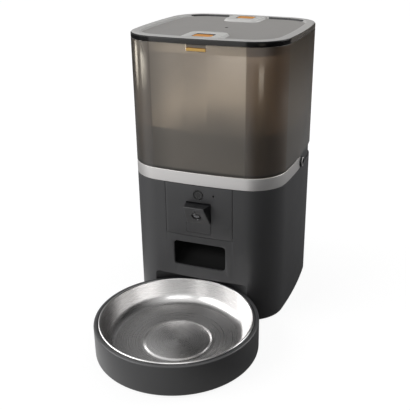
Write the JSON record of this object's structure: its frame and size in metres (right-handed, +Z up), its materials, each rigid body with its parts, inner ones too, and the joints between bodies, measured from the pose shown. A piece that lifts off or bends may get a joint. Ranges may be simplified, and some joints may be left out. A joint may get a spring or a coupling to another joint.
{
  "type": "camera pet feeder",
  "caption": "Automatic pet feeder: a smoked tank on a moulded base with a camera pod, a chute and a steel bowl in a round holder.",
  "frame": {"origin": "on the floor, at the middle of the footprint of base, bowl and buttons", "axes": "+X to the feeder's left as it faces the pet, right as seen from the front; +Y to its back; +Z up"},
  "size_m": [0.198, 0.3602, 0.3376],
  "materials": {
    "charcoal_plastic": "fine textured moulded plastic",
    "black_plastic": "matte black plastic",
    "gloss_black_plastic": "polished black plastic",
    "silver_plastic": "satin silver paint on plastic",
    "smoked_clear_plastic": "smoked see-through plastic",
    "grey_plastic": "satin grey plastic",
    "orange_plastic": "satin orange plastic",
    "brushed_steel": "spun satin stainless steel",
    "dark_rubber": "matte rubber",
    "pale_silicone": "soft silicone",
    "lens_glass": "coated dark lens",
    "circuit_board": "coated board",
    "zinc_steel": "zinc plated steel",
    "white_plastic": "natural white plastic"
  },
  "bodies": {
    "base": {"base_shell": "charcoal_plastic", "base_bottom_cover": "charcoal_plastic", "cover_screw_1": "zinc_steel", "cover_screw_2": "zinc_steel", "cover_screw_3": "zinc_steel", "cover_screw_4": "zinc_steel", "rubber_foot_1": "dark_rubber", "rubber_foot_2": "dark_rubber", "rubber_foot_3": "dark_rubber", "rubber_foot_4": "dark_rubber", "speaker": "black_plastic", "power_inlet": "black_plastic", "base_deck": "charcoal_plastic", "trim_band": "silver_plastic", "control_panel": "charcoal_plastic", "button_light_ring": "black_plastic", "feed_switch": "black_plastic", "control_board": "circuit_board", "camera_cover": "charcoal_plastic", "camera_housing": "black_plastic", "lens_ring": "gloss_black_plastic", "camera_lens": "lens_glass", "light_sensor_window": "lens_glass", "chute_liner": "black_plastic", "dosing_chamber": "black_plastic", "gear_motor": "zinc_steel"},
    "release_left": {"release_button_left": "silver_plastic"},
    "release_right": {"release_button_right": "silver_plastic"},
    "feed_key": {"feed_button": "charcoal_plastic"},
    "rotor": {"paddle_wheel": "pale_silicone", "rotor_shaft": "zinc_steel", "rotor_gear": "white_plastic"},
    "pinion": {"drive_pinion": "white_plastic", "motor_shaft": "zinc_steel"},
    "tank": {"tank": "smoked_clear_plastic", "tank_funnel": "black_plastic"},
    "lid": {"lid_cover": "grey_plastic", "lid_frame": "gloss_black_plastic", "lid_seal": "pale_silicone", "latch_retainer_front": "black_plastic", "latch_retainer_rear": "black_plastic", "desiccant_holder": "white_plastic", "desiccant_cap": "white_plastic"},
    "latch_front": {"latch_slider_front": "orange_plastic"},
    "latch_rear": {"latch_slider_rear": "orange_plastic"},
    "bowl_holder": {"bowl_holder": "charcoal_plastic", "holder_foot_1": "dark_rubber", "holder_foot_2": "dark_rubber", "holder_foot_3": "dark_rubber", "holder_foot_4": "dark_rubber"},
    "bowl": {"steel_bowl": "brushed_steel"}
  },
  "joints": [
    {"name": "tank_lift", "type": "slide", "parent": "base", "child": "tank", "axis": [0, 0, 1], "range_m": [0, 0.06]},
    {"name": "lid_lift", "type": "slide", "parent": "tank", "child": "lid", "axis": [0, 0, 1], "range_m": [0, 0.06]},
    {"name": "latch_front_slide", "type": "slide", "parent": "lid", "child": "latch_front", "axis": [0, 1, 0], "range_m": [0, 0.0045], "stiffness_N_per_m": 300},
    {"name": "latch_rear_slide", "type": "slide", "parent": "lid", "child": "latch_rear", "axis": [0, -1, 0], "range_m": [0, 0.0045], "stiffness_N_per_m": 300},
    {"name": "release_left_press", "type": "slide", "parent": "base", "child": "release_left", "axis": [1, 0, 0], "range_m": [0, 0.003], "stiffness_N_per_m": 400},
    {"name": "release_right_press", "type": "slide", "parent": "base", "child": "release_right", "axis": [-1, 0, 0], "range_m": [0, 0.003], "stiffness_N_per_m": 400},
    {"name": "feed_press", "type": "slide", "parent": "base", "child": "feed_key", "axis": [0, 1, 0], "range_m": [0, 0.001], "stiffness_N_per_m": 800},
    {"name": "rotor_spin", "type": "hinge", "parent": "base", "child": "rotor", "pos_m": [0, 0.0857, 0.13], "axis": [0, 0, 1], "continuous": true},
    {"name": "pinion_spin", "type": "hinge", "parent": "base", "child": "pinion", "pos_m": [0, 0.1131, 0.126], "axis": [0, 0, 1], "continuous": true},
    {"name": "holder_slide", "type": "slide", "parent": "base", "child": "bowl_holder", "axis": [0, -1, 0], "range_m": [0, 0.06]},
    {"name": "bowl_lift", "type": "slide", "parent": "bowl_holder", "child": "bowl", "axis": [0, 0, 1], "range_m": [0, 0.006]}
  ],
  "couplings": [
    {"joint": "pinion_spin", "follows": "rotor_spin", "ratio": -2}
  ]
}
